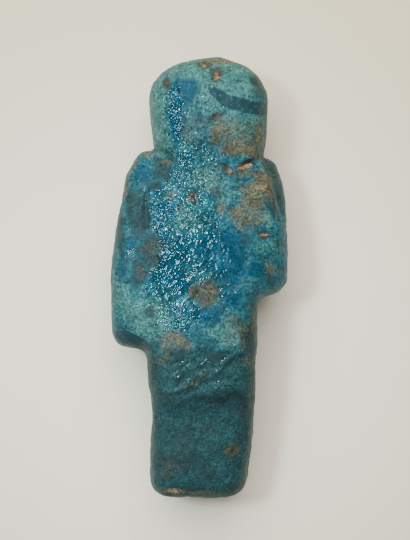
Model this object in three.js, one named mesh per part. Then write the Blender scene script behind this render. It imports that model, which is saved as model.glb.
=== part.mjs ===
// A mummiform ushabti, a funerary figurine press-moulded as one solid in glazed quartz faience.
//
// It lies face down. Millimetres, +Z up out of its back, +Y towards the crown, -Y out of the sole.
// The forms below are laid out from the sole, at y = 0, and from the surface it lies on, at z = 0.
// Each form is a signed distance, negative inside. The forms are blended into one, and its skin is
// found by casting rays out of the body's axis, ring by ring, so the result is one closed mesh.

import * as THREE from "three";

// ---- Driving dimensions ----

const LENGTH = 90; // sole to crown
const WIDTH = 36; // across the upper arms
const DEPTH = 20.5; // clenched hands to the small of the back
const HEAD_X = 1.9; // the head sits a little to the figure's right of the body's axis
const GLAZE_COLOUR = 0x2f8793;

// Levels up from the sole.
const SHOULDER_Y = 71;
const RIGHT_ELBOW_Y = 42;
const LEFT_ELBOW_Y = 31;
const STEP_Y = 19; // the back steps down here, below the buttocks

// ---- Signed distances ----

const { abs, exp, max, min, sin, cos, sqrt, PI } = Math;

const mix = (a, b, t) => a + (b - a) * t;
const clamp01 = (t) => min(max(t, 0), 1);
const norm = (a, b, c = 0) => sqrt(a * a + b * b + c * c);

// Rounded join and rounded cut: k is the width over which two surfaces run into each other.
function join(a, b, k) {
  const h = max(k - abs(a - b), 0) / k;
  return min(a, b) - (h * h * k) / 4;
}

const cut = (a, b, k) => -join(-a, b, k);

// A smooth curve through [position, value] pairs, in rising order, level beyond both ends.
function profile(...pairs) {
  const slope = pairs.map((_, i) => {
    const [before, after] = [pairs[i - 1], pairs[i + 1]];
    return before && after ? (after[1] - before[1]) / (after[0] - before[0]) : 0;
  });
  return (y) => {
    if (y <= pairs[0][0]) return pairs[0][1];
    const i = pairs.findIndex((pair) => pair[0] > y);
    if (i < 0) return pairs.at(-1)[1];
    const span = pairs[i][0] - pairs[i - 1][0];
    const t = (y - pairs[i - 1][0]) / span;
    const s = 1 - t;
    const level = pairs[i - 1][1] * s * s * (1 + 2 * t) + pairs[i][1] * t * t * (1 + 2 * s);
    return level + (slope[i - 1] * s - slope[i] * t) * span * t * s;
  };
}

// Each side of a chain of points as [start x, start y, run x, run y].
const sidesOf = (points) =>
  points.slice(1).map(([x, y], i) => [points[i][0], points[i][1], x - points[i][0], y - points[i][1]]);

// Distance from (x, y) to the nearest of those sides.
function chainDistance(sides, x, y) {
  let nearest = Infinity;
  for (const [ax, ay, ex, ey] of sides) {
    const t = clamp01(((x - ax) * ex + (y - ay) * ey) / (ex * ex + ey * ey));
    nearest = min(nearest, norm(x - ax - ex * t, y - ay - ey * t));
  }
  return nearest;
}

// The same for a closed outline, negative inside it.
function outlineDistance(sides, x, y) {
  let inside = false;
  for (const [ax, ay, ex, ey] of sides) {
    if (ay > y !== ay + ey > y && x < ax + (ex * (y - ay)) / ey) inside = !inside;
  }
  return chainDistance(sides, x, y) * (inside ? -1 : 1);
}

// A cushion-shaped block: an outline seen from above, rounded by `corner` outside its points, that
// runs from a front to a back along the body, with its rims rounded by `rim`. A dome of [x, drop]
// lets the back fall away to both sides of x, by drop at 10 mm.
function block({ outline, corner, front, back, rim, dome = [0, 0], squareness = 2 }) {
  const sides = sidesOf([...outline, outline[0]]);
  return (x, y, z) => {
    const top = back(y) - dome[1] * ((x - dome[0]) / 10) ** 2;
    const bottom = front(y);
    const across = outlineDistance(sides, x, y) - corner + rim;
    const through = abs(z - (top + bottom) / 2) - (top - bottom) / 2 + rim;
    const [a, b] = [max(across, 0), max(through, 0)];
    return (a ** squareness + b ** squareness) ** (1 / squareness) + min(max(across, through), 0) - rim;
  };
}

function ellipsoid([cx, cy, cz], [rx, ry, rz]) {
  return (x, y, z) => {
    const [px, py, pz] = [(x - cx) / rx, (y - cy) / ry, (z - cz) / rz];
    const k = norm(px, py, pz);
    return (k * (k - 1)) / max(norm(px / rx, py / ry, pz / rz), 1e-9);
  };
}

// A limb: a rod whose radius runs from one end's to the other's.
function limb([ax, ay, az], startRadius, [bx, by, bz], endRadius) {
  const [ex, ey, ez] = [bx - ax, by - ay, bz - az];
  const length2 = ex * ex + ey * ey + ez * ez;
  return (x, y, z) => {
    const t = clamp01(((x - ax) * ex + (y - ay) * ey + (z - az) * ez) / length2);
    const away = norm(x - ax - ex * t, y - ay - ey * t, z - az - ez * t);
    return away - mix(startRadius, endRadius, t);
  };
}

// Joins [form, k] pairs onto a distance d, one after the other.
const joinAll = (d, pairs, x, y, z) => pairs.reduce((whole, [form, k]) => join(whole, form(x, y, z), k), d);

// ---- The figure's masses ----

const half = WIDTH / 2;

const head = block({
  outline: [
    [HEAD_X - 5.2, SHOULDER_Y - 3],
    [HEAD_X - 5.3, SHOULDER_Y + 1.6],
    [HEAD_X - 6.1, LENGTH - 8.1],
    [HEAD_X - 4.4, LENGTH - 7.2],
    [HEAD_X - 1.2, LENGTH - 6.4],
    [HEAD_X + 1.8, LENGTH - 6],
    [HEAD_X + 4.9, LENGTH - 7.1],
    [HEAD_X + 6.2, LENGTH - 8.8],
    [HEAD_X + 5.8, LENGTH - 15],
    [HEAD_X + 5.3, SHOULDER_Y - 3],
  ],
  corner: 6,
  front: profile([66, 5.4], [74, 4.1], [80, 3.7], [87, 4.6]),
  back: profile([64, 18.2], [70, 18.6], [76, 19.5], [82, 19.7], [89, 18.6]),
  rim: 6.2,
  dome: [HEAD_X + 2, 0.7],
  squareness: 2.3,
});

const trunk = block({
  outline: [
    [-7.3, LEFT_ELBOW_Y],
    [-8.8, LEFT_ELBOW_Y + 7],
    [-9.4, 50],
    [-8.2, 60],
    [-5.4, SHOULDER_Y - 4],
    [9.6, SHOULDER_Y - 4.2],
    [11.4, 62.5],
    [12.6, 57],
    [13.0, 50],
    [12.0, RIGHT_ELBOW_Y + 3],
    [8.1, RIGHT_ELBOW_Y - 1],
    [8.0, LEFT_ELBOW_Y],
  ],
  corner: 3.4,
  front: profile([28, 4.2], [40, 3.6], [52, 2.8], [62, 2.9], [69, 4.6]),
  back: profile([30, 20.2], [40, DEPTH], [52, 20.3], [61, 19.6], [69, 18.6]),
  rim: 4.6,
  dome: [3, 1.3],
  squareness: 2.2,
});

const leftArm = block({
  outline: [
    [-7.0, SHOULDER_Y - 1.8],
    [-10.3, SHOULDER_Y - 1.9],
    [-11.5, SHOULDER_Y - 3.2],
    [-12.7, 65.3],
    [-13.4, 61.6],
    [-14.8, 55.6],
    [-15.3, 50.0],
    [2.3 - half, 44.5],
    [2.3 - half, LEFT_ELBOW_Y + 3.4],
    [-15.4, LEFT_ELBOW_Y + 2.2],
    [-14.4, LEFT_ELBOW_Y + 1.8],
    [-9.0, LEFT_ELBOW_Y + 1.5],
  ],
  corner: 2.2,
  front: profile([34, 4.2], [48, 4.8], [60, 6.0], [70, 8.2]),
  back: profile([32, 17.6], [40, 18.5], [52, 18.7], [62, 18.0], [71, 16.6]),
  rim: 4.4,
  dome: [-9, 1.4],
});

// The right arm's front half came out of the mould wider than the hand-pressed back behind it, and
// stands out as a seam from the shoulder to the middle of the arm.
const rightArm = block({
  outline: [
    [8.0, SHOULDER_Y - 5],
    [11.9, SHOULDER_Y - 4.8],
    [13.2, 63.6],
    [14.2, 59.5],
    [15.1, 55.0],
    [15.9, 50.0],
    [half - 2.2, RIGHT_ELBOW_Y + 2.6],
    [14.6, RIGHT_ELBOW_Y + 1.8],
    [10.0, RIGHT_ELBOW_Y + 2.4],
  ],
  corner: 2.2,
  front: () => 8,
  back: profile([42, 17.4], [50, 18.2], [60, 18.3], [68, 17.2]),
  rim: 3.0,
  dome: [9, 1.2],
});
const rightSeam = block({
  outline: [
    [9.0, SHOULDER_Y - 3.1],
    [14.3, SHOULDER_Y - 3.1],
    [15.0, SHOULDER_Y - 4.8],
    [15.8, 63.8],
    [16.3, 59.5],
    [half - 1.5, 53.0],
    [half - 1.4, RIGHT_ELBOW_Y + 2.9],
    [15.0, RIGHT_ELBOW_Y + 1.2],
    [12.6, RIGHT_ELBOW_Y + 1.5],
    [9.5, 50.0],
  ],
  corner: 1.5,
  front: profile([42, 4.6], [52, 5.0], [62, 6.6], [70, 8.6]),
  back: profile([42, 14.6], [56, 14.8], [66, 13.8]),
  rim: 2.6,
});

const legs = block({
  outline: [
    [-7.2, -8],
    [-7.4, 4.0],
    [-7.5, 9.0],
    [-7.1, STEP_Y - 2],
    [-7.2, STEP_Y + 1.5],
    [-8.0, STEP_Y + 5.5],
    [-8.1, LEFT_ELBOW_Y + 5],
    [9.0, RIGHT_ELBOW_Y],
    [9.0, STEP_Y + 4],
    [8.6, 16.0],
    [7.9, 9.0],
    [7.2, 4.0],
    [6.5, -8],
  ],
  corner: 2.5,
  front: profile([6, 5.8], [12, 5.4], [20, 4.8], [32, 4.2]),
  back: profile([0, 16.4], [9, 17.4], [STEP_Y - 1.6, 18.2], [STEP_Y + 1.6, 19.4], [30, 20.1], [40, DEPTH]),
  rim: 4.6,
  dome: [1, 0.6],
  squareness: 2.3,
});

// The wrapped feet stand out in front of the shins and share the sole.
const feet = block({
  outline: [
    [-6.2, -8],
    [-6.5, 5.8],
    [6.1, 5.8],
    [5.5, -8],
  ],
  corner: 2.5,
  front: () => -1,
  back: () => 11,
  rim: 3.2,
});

// Each with the width over which it runs into the others.
const masses = [
  [head, 1],
  [trunk, 1.8],
  [leftArm, 1.4],
  [rightArm, 1.6],
  [rightSeam, 0.7],
  [legs, 1.6],
  [feet, 3.6],
];

// ---- Carving on the front: face, wig and crossed arms ----

// The face is a soft oval dome set into the wig. Its features are rounded bumps and hollows, laid out
// in shares of its half-width and of its length from the chin, with heights in millimetres.
const FACE = { halfWidth: 6.3, length: 13.4, chin: SHOULDER_Y - 0.5, front: 3.3 };
const features = [
  { name: "brow", across: 0.42, along: 0.68, wide: 0.34, long: 0.05, height: 0.5 },
  { name: "eye socket", across: 0.4, along: 0.585, wide: 0.3, long: 0.075, height: -0.75 },
  { name: "eye", across: 0.4, along: 0.575, wide: 0.22, long: 0.045, height: 0.5 },
  { name: "bridge of the nose", across: 0, along: 0.58, wide: 0.12, long: 0.13, height: 0.7 },
  { name: "tip of the nose", across: 0, along: 0.415, wide: 0.2, long: 0.075, height: 1.2 },
  { name: "cheek", across: 0.52, along: 0.4, wide: 0.3, long: 0.14, height: 0.4 },
  { name: "upper lip", across: 0, along: 0.275, wide: 0.32, long: 0.035, height: 0.5 },
  { name: "lower lip", across: 0, along: 0.195, wide: 0.26, long: 0.035, height: 0.5 },
  { name: "chin", across: 0, along: 0.08, wide: 0.3, long: 0.06, height: 0.6 },
];

function face(x, y, z) {
  const across = abs(x - HEAD_X) / FACE.halfWidth;
  const along = (y - FACE.chin) / FACE.length;
  const rim = norm(across, along * 2 - 1);
  if (rim > 1.2) return 1;
  let front = FACE.front + 0.8 * rim ** 2 + 1.6 * rim ** 8;
  for (const { across: u, along: v, wide, long, height } of features) {
    front -= height * exp(-(((across - u) / wide) ** 2) - ((along - v) / long) ** 2);
  }
  return (front - z) * 0.8;
}

const bothSides = (make) => [-1, 1].map((side) => make(side));
const faceFrame = ellipsoid(
  [HEAD_X, FACE.chin + FACE.length / 2, FACE.front - 1],
  [FACE.halfWidth + 0.7, FACE.length / 2 + 0.7, 3.2],
);
const ears = bothSides((side) => [ellipsoid([HEAD_X + side * 7.4, 77.2, 5.3], [1.6, 2.5, 2.3]), 0.5]);

// Two lappets of the wig fall from beside the face onto the breast.
const lappets = bothSides((side) => [
  block({
    outline: [
      [HEAD_X + side * 5.2, 61.8],
      [HEAD_X + side * 6.0, 61.8],
      [HEAD_X + side * 7.2, 72.0],
      [HEAD_X + side * 6.4, 74.0],
    ],
    corner: 2.3,
    front: profile([60, 1.4], [68, 2.0], [75, 3.6]),
    back: () => 10,
    rim: 2.3,
  }),
  0.8,
]);

// The forearms cross on the breast, the right over the left, and end in clenched hands.
const arms = [
  [limb([-13.4, LEFT_ELBOW_Y + 8, 6.2], 3.9, [3.6, 53.2, 4.0], 3.1), 2.0],
  [ellipsoid([5.8, 55.0, 3.3], [3.3, 3.0, 3.6]), 0.6],
  [limb([13.6, RIGHT_ELBOW_Y + 5.4, 5.8], 3.5, [-2.2, 54.4, 3.7], 3.3), 1.0],
  [ellipsoid([-4.6, 55.7, 3.3], [3.4, 3.0, 3.6]), 0.6],
];

// ---- Carving on the back ----

// Each groove fades in and out across its width as a soft hollow of its depth.
const grooves = [
  // Under the wig's lower edge, where the clay of the shoulder was folded up against it.
  { path: [[2.4, 67.0], [6.2, 67.4], [9.6, 68.4], [13.2, 70.2]], width: 1.1, depth: 0.7 },
  { path: [[-10.5, 71.4], [-8.6, 70.2], [-6.2, 69.2]], width: 1.4, depth: 0.5 },
  // Under the right buttock, at the foot of the step.
  { path: [[3.5, STEP_Y + 0.7], [6.5, STEP_Y + 0.3], [9.6, STEP_Y + 0.2]], width: 1.5, depth: 0.5 },
  // Between the trunk and the left arm.
  { path: [[-9.4, 68], [-11.4, 62], [-11.6, 54], [-12.4, 46], [-13.2, 41]], width: 2.2, depth: 0.8 },
].map(({ path, width, depth }) => ({ sides: sidesOf(path), width, depth }));

function grooveDepth(x, y) {
  let deepest = 0;
  for (const { sides, width, depth } of grooves) {
    deepest = max(deepest, depth * exp(-2 * (chainDistance(sides, x, y) / width) ** 2));
  }
  return deepest;
}

// ---- The whole figure ----

const SOLE_EDGE = 4.0; // how far the worn edge of the sole runs up the sides
const FLAT_EDGE = 0.5; // the same for the flats it lies on
const FRAME_EDGE = 0.6; // the same for the hollow that the face sits in
const frontForms = [[face, 0.4], ...ears, ...arms];

function figure(x, y, z) {
  let d = joinAll(Infinity, masses, x, y, z);
  if (z > DEPTH / 2) {
    d += grooveDepth(x, y);
  } else if (y > LEFT_ELBOW_Y) {
    d = joinAll(d, lappets, x, y, z);
    d = cut(d, faceFrame(x, y, z), FRAME_EDGE);
    d = joinAll(d, frontForms, x, y, z);
  }
  d = cut(d, y, SOLE_EDGE);
  return cut(d, z, FLAT_EDGE);
}

// ---- The skin ----

const RAYS = 58; // round each ring
const CROWDING = -0.4; // below 0, the rays crowd towards the carved front
const ASPECT = { x: 12, z: 9.4 }; // spreads the rays round a body that is wider than deep
const REACH = 44; // longer than any ray inside the body
const STRIDE = 0.7; // the share of the distance left that one step along a ray takes
const SHORTEST_STEP = 0.15;
const TOLERANCE = 1e-5;

// The axis that the rays leave from leans to the head's side above the shoulders.
const axisX = profile([10, 0.2], [60, 0], [74, HEAD_X]);
const axisZ = profile([0, 8.6], [12, 11.2], [40, 11], [70, 11.2], [90, 11.4]);

// Rings across the axis, closer together where the form turns: from, to and how many.
const zones = [
  [6.5, 17, 8],
  [18.2, 21.0, 4],
  [23.4, 28.8, 4],
  [29.8, 34.4, 7],
  [36.2, 39.4, 3],
  [40.8, 45.0, 6],
  [46.4, 61.0, 13],
  [62.2, 66.2, 4],
  [67.2, 80.4, 18],
];
const rings = zones.flatMap(([from, to, count]) =>
  Array.from({ length: count }, (_, i) => ({ y: mix(from, to, i / (count - 1)), spread: 1, tip: 0 })),
);

// Past the last rings the rays fan out of one point, to close the sole and the crown.
const SOLE_FAN = [0.35, 0.62, 0.84, 1.02, 1.25, 1.7, 3];
const CROWN_FAN = [5, 2.5, 1.7, 1.28, 1.0, 0.76, 0.55, 0.36, 0.18];
const fan = (y, tip, spreads) => spreads.map((spread) => ({ y, tip, spread }));
const [firstRing, lastRing] = [rings[0].y, rings.at(-1).y];
const rows = [
  ...fan(firstRing, -firstRing, SOLE_FAN),
  ...rings,
  ...fan(lastRing, LENGTH - lastRing, CROWN_FAN),
];
const solePoint = { y: firstRing, tip: -firstRing, spread: 0 };
const crownPoint = { y: lastRing, tip: LENGTH - lastRing, spread: 0 };

// The outermost skin along a ray: the ray is walked inwards by the distance left, and the last
// step is then halved until it closes on the skin.
function skinPoint({ y, tip, spread }, turn) {
  const angle = -PI / 2 + turn + CROWDING * sin(turn);
  const way = new THREE.Vector3(ASPECT.x * spread * cos(angle), tip, ASPECT.z * spread * sin(angle));
  way.normalize();
  const start = new THREE.Vector3(axisX(y), y, axisZ(y));
  const at = (t) => figure(start.x + way.x * t, start.y + way.y * t, start.z + way.z * t);
  let [inside, outside] = [REACH, REACH];
  for (let d = at(inside); d > 0 && inside > 0; d = at(inside)) {
    outside = inside;
    inside -= max(d * STRIDE, SHORTEST_STEP);
  }
  while (outside - inside > TOLERANCE) {
    const middle = (inside + outside) / 2;
    if (at(middle) > 0) outside = middle;
    else inside = middle;
  }
  return start.addScaledVector(way, outside);
}

// Slides a point along the skin half-way to the middle of its neighbours, and back onto the skin.
const FINE = 0.02; // the step that slopes are measured with
const FLATTEST = 0.25; // the least squared slope that a point is moved by
function relaxed(point, neighbours) {
  const slopeAt = (p, d) =>
    new THREE.Vector3(
      figure(p.x + FINE, p.y, p.z) - d,
      figure(p.x, p.y + FINE, p.z) - d,
      figure(p.x, p.y, p.z + FINE) - d,
    ).divideScalar(FINE);
  const pull = new THREE.Vector3();
  for (const neighbour of neighbours) pull.addScaledVector(neighbour, 1 / neighbours.length);
  pull.sub(point).multiplyScalar(0.5);
  const out = slopeAt(point, figure(point.x, point.y, point.z)).normalize();
  const moved = point.clone().add(pull).addScaledVector(out, -pull.dot(out));
  for (let i = 0; i < 2; i += 1) {
    const d = figure(moved.x, moved.y, moved.z);
    const slope = slopeAt(moved, d);
    moved.addScaledVector(slope, -d / max(slope.lengthSq(), FLATTEST));
  }
  return moved;
}

const RELAXING_ROUNDS = 12;

function skin() {
  const turns = Array.from({ length: RAYS }, (_, i) => (2 * PI * i) / RAYS - PI);
  let grid = rows.map((row) => turns.map((turn) => skinPoint(row, turn)));
  for (let round = 0; round < RELAXING_ROUNDS; round += 1) {
    grid = grid.map((ring, row) =>
      ring.map((point, i) => {
        if (row === 0 || row === grid.length - 1) return point;
        const [before, after] = [ring.at(i - 1), ring[(i + 1) % RAYS]];
        return relaxed(point, [before, after, grid[row - 1][i], grid[row + 1][i]]);
      }),
    );
  }
  const points = [skinPoint(solePoint, 0), ...grid.flat(), skinPoint(crownPoint, 0)];
  const last = points.length - 1;
  const corner = (row, i) => 1 + row * RAYS + (i % RAYS);
  const triangles = [];
  for (let i = 0; i < RAYS; i += 1) {
    triangles.push(0, corner(0, i), corner(0, i + 1));
    for (let row = 1; row < rows.length; row += 1) {
      const [a, b] = [corner(row - 1, i), corner(row - 1, i + 1)];
      const [c, d] = [corner(row, i), corner(row, i + 1)];
      triangles.push(a, c, b, b, c, d);
    }
    triangles.push(corner(rows.length - 1, i), last, corner(rows.length - 1, i + 1));
  }
  const geometry = new THREE.BufferGeometry().setFromPoints(points);
  geometry.setIndex(triangles);
  geometry.computeVertexNormals();
  return geometry;
}

const ushabti = new THREE.Mesh(
  skin(),
  new THREE.MeshStandardMaterial({ color: GLAZE_COLOUR, roughness: 0.4, metalness: 0 }),
);
ushabti.name = "ushabti_figure";

// The frame's origin is under the middle of the figure, on the surface it lies on.
const figurine = new THREE.Group();
const box = new THREE.Box3().setFromObject(ushabti);
const middle = box.getCenter(new THREE.Vector3());
ushabti.position.set(-middle.x, -middle.y, -box.min.z);
figurine.add(ushabti);

export default figurine;
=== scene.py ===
"""The looks of a glazed faience ushabti that lies face down on pale paper.

Lengths are laid out in millimetres: x across the body, y up from the sole and z up from the surface
it lies on. The frame's own length sets how long one such millimetre is.
"""

from math import cos, pi, radians, sin, tan

import bmesh
import bpy
import numpy as np
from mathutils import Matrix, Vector, noise


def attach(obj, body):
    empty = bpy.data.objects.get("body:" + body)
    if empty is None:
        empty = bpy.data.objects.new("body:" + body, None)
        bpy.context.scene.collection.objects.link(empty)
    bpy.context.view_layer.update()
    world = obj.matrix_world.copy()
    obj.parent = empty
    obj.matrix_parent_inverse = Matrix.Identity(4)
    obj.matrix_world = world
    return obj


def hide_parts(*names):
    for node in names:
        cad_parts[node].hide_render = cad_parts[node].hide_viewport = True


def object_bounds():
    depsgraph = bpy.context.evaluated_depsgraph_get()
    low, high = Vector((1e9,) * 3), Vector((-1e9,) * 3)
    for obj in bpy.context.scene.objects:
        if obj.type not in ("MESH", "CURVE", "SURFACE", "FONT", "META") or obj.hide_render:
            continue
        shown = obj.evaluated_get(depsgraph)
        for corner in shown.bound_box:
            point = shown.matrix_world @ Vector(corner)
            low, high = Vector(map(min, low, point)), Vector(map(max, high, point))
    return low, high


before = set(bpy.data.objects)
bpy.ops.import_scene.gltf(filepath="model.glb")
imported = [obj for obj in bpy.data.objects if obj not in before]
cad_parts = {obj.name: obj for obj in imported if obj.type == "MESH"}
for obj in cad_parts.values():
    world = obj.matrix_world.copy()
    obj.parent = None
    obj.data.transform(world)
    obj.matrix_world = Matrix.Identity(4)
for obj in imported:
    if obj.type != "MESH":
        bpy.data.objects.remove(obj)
cad_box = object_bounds()

LENGTH = 90.0
low, high = (Vector(corner) for corner in cad_box)
MM = (high.y - low.y) / LENGTH
SOLE = Vector((0.0, low.y, low.z))


def place(x, y, z):
    """The point in the frame for a place in the layout."""
    return SOLE + Vector((x, y, z)) * MM


# ---- Camera ----

VIEW_CENTRE = (1.1, 46.5)
VIEW_HEIGHT = 111.2
OUTLINE_Z = 10.0
CAMERA_HEIGHT = 300.0
SENSOR_HEIGHT = 24.0
CLIP_START = 0.01


def add_camera():
    data = bpy.data.cameras.new("camera")
    data.sensor_fit = "VERTICAL"
    data.sensor_height = SENSOR_HEIGHT
    data.lens = SENSOR_HEIGHT * CAMERA_HEIGHT / VIEW_HEIGHT
    data.clip_start = CLIP_START
    camera = bpy.data.objects.new("camera", data)
    camera.location = place(*VIEW_CENTRE, OUTLINE_Z + CAMERA_HEIGHT)
    bpy.context.scene.collection.objects.link(camera)
    bpy.context.scene.camera = camera


add_camera()

# ---- The figure's skin: a smooth, evenly meshed copy of the CAD node ----

VOXEL = 0.31
ROUNDING_LEVELS = 2
WELD_DISTANCE = 1e-7
JOIN_ANGLE = 0.9


def refined_copy(node, name):
    """A new object over the node, with its facets rounded and its faces all of one size."""
    mesh = bpy.data.meshes.new(name)
    work = bmesh.new()
    work.from_mesh(node.data)
    bmesh.ops.remove_doubles(work, verts=work.verts, dist=WELD_DISTANCE)
    bmesh.ops.join_triangles(
        work, faces=work.faces, angle_face_threshold=JOIN_ANGLE, angle_shape_threshold=JOIN_ANGLE
    )
    work.to_mesh(mesh)
    work.free()
    piece = bpy.data.objects.new(name, mesh)
    bpy.context.scene.collection.objects.link(piece)
    rounding = piece.modifiers.new("rounding", "SUBSURF")
    rounding.levels = ROUNDING_LEVELS
    even = piece.modifiers.new("even", "REMESH")
    even.mode = "VOXEL"
    even.voxel_size = VOXEL * MM
    depsgraph = bpy.context.evaluated_depsgraph_get()
    refined = bpy.data.meshes.new_from_object(piece.evaluated_get(depsgraph))
    piece.modifiers.clear()
    piece.data = refined
    refined.name = name
    refined.shade_smooth()
    return piece


def read_vectors(items, key):
    """One row for each item, with the three numbers of its key."""
    values = np.empty(len(items) * 3, np.float32)
    items.foreach_get(key, values)
    return values.reshape(-1, 3).astype(float)


figure = refined_copy(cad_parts["ushabti_figure"], "glazed_figure")
skin = figure.data
points = (read_vectors(skin.vertices, "co") - np.array(SOLE)) / MM
normals = read_vectors(skin.vertex_normals, "vector")
x, y, z = points.T

# ---- Tools for carving and staining the skin ----

# Marks on the back are laid out as the camera sees them, on the level of the outline.
nearness = CAMERA_HEIGHT / (CAMERA_HEIGHT + OUTLINE_Z - z)
seen_x = VIEW_CENTRE[0] + (x - VIEW_CENTRE[0]) * nearness
seen_y = VIEW_CENTRE[1] + (y - VIEW_CENTRE[1]) * nearness


def smooth_step(start, end, value):
    share = np.clip((value - start) / (end - start), 0, 1)
    return share * share * (3 - 2 * share)


def bell(distance, width):
    """1 in the middle, fading to nothing a little over one width away."""
    return np.exp(-((distance / width) ** 2))


SEED_SHIFT = 31.7
# Without a seed of its own, Blender's vector noise starts from the time of day.
NOISE_SEED = 1
noise.seed_set(NOISE_SEED)


def lumps(size, seed, octaves=1, at=points):
    """Smooth noise from about -1 to 1, with lumps of that size, different for each seed."""
    shifted = at / size + seed * SEED_SHIFT
    return np.array([noise.fractal(point, 1.0, 2.0, octaves) for point in shifted.tolist()])


def drifting(size, seed):
    """Smooth noise in three directions, with lumps of that size."""
    shifted = points / size + seed * SEED_SHIFT
    return np.array([noise.noise_vector(point) for point in shifted.tolist()])


def streaks(length, width, angle, seed):
    """The same noise drawn out into marks of that length and width at an angle to the x axis."""
    turn = radians(angle)
    along = x * cos(turn) + y * sin(turn)
    across = y * cos(turn) - x * sin(turn)
    return lumps(1.0, seed, 2, np.stack([along / length, across / width, z / length], 1))


# The radius of the smallest pit, and how much larger the largest is, as shares of the spacing.
PIT_RADIUS = 0.14
PIT_RADIUS_RANGE = 0.26
CELL_SHIFT = 97.0


def pits(spacing, seed, share):
    """Round pits about one spacing apart, 1 in the middle and 0 at the rim, in a share of the cells."""
    shifted = points / spacing + seed * SEED_SHIFT
    depth = np.zeros(len(points))
    for i, point in enumerate(shifted.tolist()):
        distances, centres = noise.voronoi(point)
        chance = noise.cell(centres[0] * CELL_SHIFT)
        if chance < share:
            radius = PIT_RADIUS + PIT_RADIUS_RANGE * chance / share
            depth[i] = max(0.0, 1 - (distances[0] / radius) ** 2)
    return depth


def stroke_distance(rows, at_x, at_y):
    """Distance from the rim of a stroke of (x, y, half-width), below 0 inside it."""
    nearest = np.full(len(points), np.inf)
    for (ax, ay, a_half), (bx, by, b_half) in zip(rows, rows[1:]):
        run_x = bx - ax
        run_y = by - ay
        share = np.clip(((at_x - ax) * run_x + (at_y - ay) * run_y) / (run_x**2 + run_y**2), 0, 1)
        away = np.hypot(at_x - ax - run_x * share, at_y - ay - run_y * share)
        nearest = np.minimum(nearest, away - a_half - (b_half - a_half) * share)
    return nearest


def path_distance(path, at_x, at_y):
    """Distance from a path of (x, y)."""
    return stroke_distance([(*corner, 0.0) for corner in path], at_x, at_y)


def oval(centre_x, centre_y, half_width, half_length, turn, at_x, at_y):
    """0 in the middle of an oval seen from above, 1 on its rim."""
    angle = radians(turn)
    across = (at_x - centre_x) * cos(angle) + (at_y - centre_y) * sin(angle)
    along = (at_y - centre_y) * cos(angle) - (at_x - centre_x) * sin(angle)
    return np.hypot(across / half_width, along / half_length)


# The heights between which the marks of the back fade in, and the same for how far a place faces up.
ON_BACK = (8.5, 12.5)
FACING_UP = (0.2, 0.7)
# The parts that add up to the drift, as (size of the lumps, seed, strength).
DRIFTS = [(4.5, 31, 1.6), (1.7, 32, 0.9), (0.8, 33, 0.5)]

on_back = smooth_step(*ON_BACK, z)
facing_up = smooth_step(*FACING_UP, normals[:, 2])
# How far the edges of marks and stains stray from their plain shapes, where 1 is about a millimetre.
drift = np.zeros_like(points)
for size, seed, strength in DRIFTS:
    drift += strength * drifting(size, seed)

# ---- Relief of the back: heights out of the skin, in millimetres ----

# Narrow marks as (path, width, height), with a height below 0 for a groove.
BACK_MARKS = [
    # The wig's lower edge, right and left.
    ([(4.9, 66.6), (6.5, 66.0), (7.9, 66.6), (9.6, 67.6), (11.4, 69.4), (13.2, 70.0)], 0.4, -0.3),
    ([(-10.4, 71.6), (-8.1, 71.2), (-6.5, 70.1), (-5.4, 68.8)], 0.6, -0.3),
    # A crack in the fold under the wig, and the lip of bare body below it.
    ([(8.9, 68.5), (9.8, 68.8), (10.7, 69.3)], 0.24, -0.7),
    ([(7.8, 67.3), (9.3, 67.9), (11.1, 68.7)], 0.42, 0.25),
    # The seam along the right arm, between the pressed back and the moulded front.
    ([(12.7, 69.3), (14.0, 67.3), (15.0, 65.5), (15.7, 63.2), (16.2, 60.5), (16.5, 57.0)], 0.45, -0.4),
    # Between trunk and left arm.
    ([(-11.4, 63.4), (-11.0, 60.0), (-11.2, 56.0)], 0.5, -0.35),
    # Clay dragged across the hips.
    ([(-6.2, 21.2), (-4.4, 21.8), (-1.8, 22.6)], 0.4, 0.2),
    ([(0.6, 24.7), (2.6, 25.6), (4.4, 25.8)], 0.45, 0.22),
    ([(-4.8, 20.6), (-0.6, 21.5), (1.6, 23.2)], 0.6, -0.16),
    ([(5.0, 27.0), (6.9, 28.4), (9.4, 30.4)], 0.45, 0.18),
    ([(4.6, 25.9), (7.4, 27.2)], 0.5, -0.12),
]
# Round marks as (x, y, radius, height).
BACK_SPOTS = [
    (5.5, 67.2, 0.9, -0.4),
    (1.3, 89.0, 0.8, -0.25),
    (3.7, 86.7, 0.9, -0.25),
    (-6.9, 84.8, 0.7, -0.2),
    (3.0, 78.2, 0.8, -0.2),
    (1.2, 42.2, 2.4, 0.14),
    (-0.6, 41.6, 0.4, -0.3),
    (2.3, 42.0, 0.45, -0.35),
    (4.0, 22.0, 1.0, 0.3),
    (6.6, 22.0, 1.1, 0.3),
    (6.4, 20.4, 1.3, -0.5),
    (6.9, 9.3, 0.5, -0.5),
    (-5.6, 0.9, 1.1, -0.3),
    (-2.8, 0.6, 0.9, -0.25),
]

# The unevenness all over, as (size of the lumps, seed, height).
UNEVENNESS = [(7.0, 1, 0.22), (2.6, 2, 0.13), (1.3, 3, 0.07)]
SIDE_ROUGHNESS = 0.12
SIDE_LUMPS = 1.6
PIT_DEPTH = 0.16
PIT_SPACING = 2.4
PITTED_SHARE = 0.5
WAVER = 0.3
SPOT_FADE = 0.9
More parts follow.
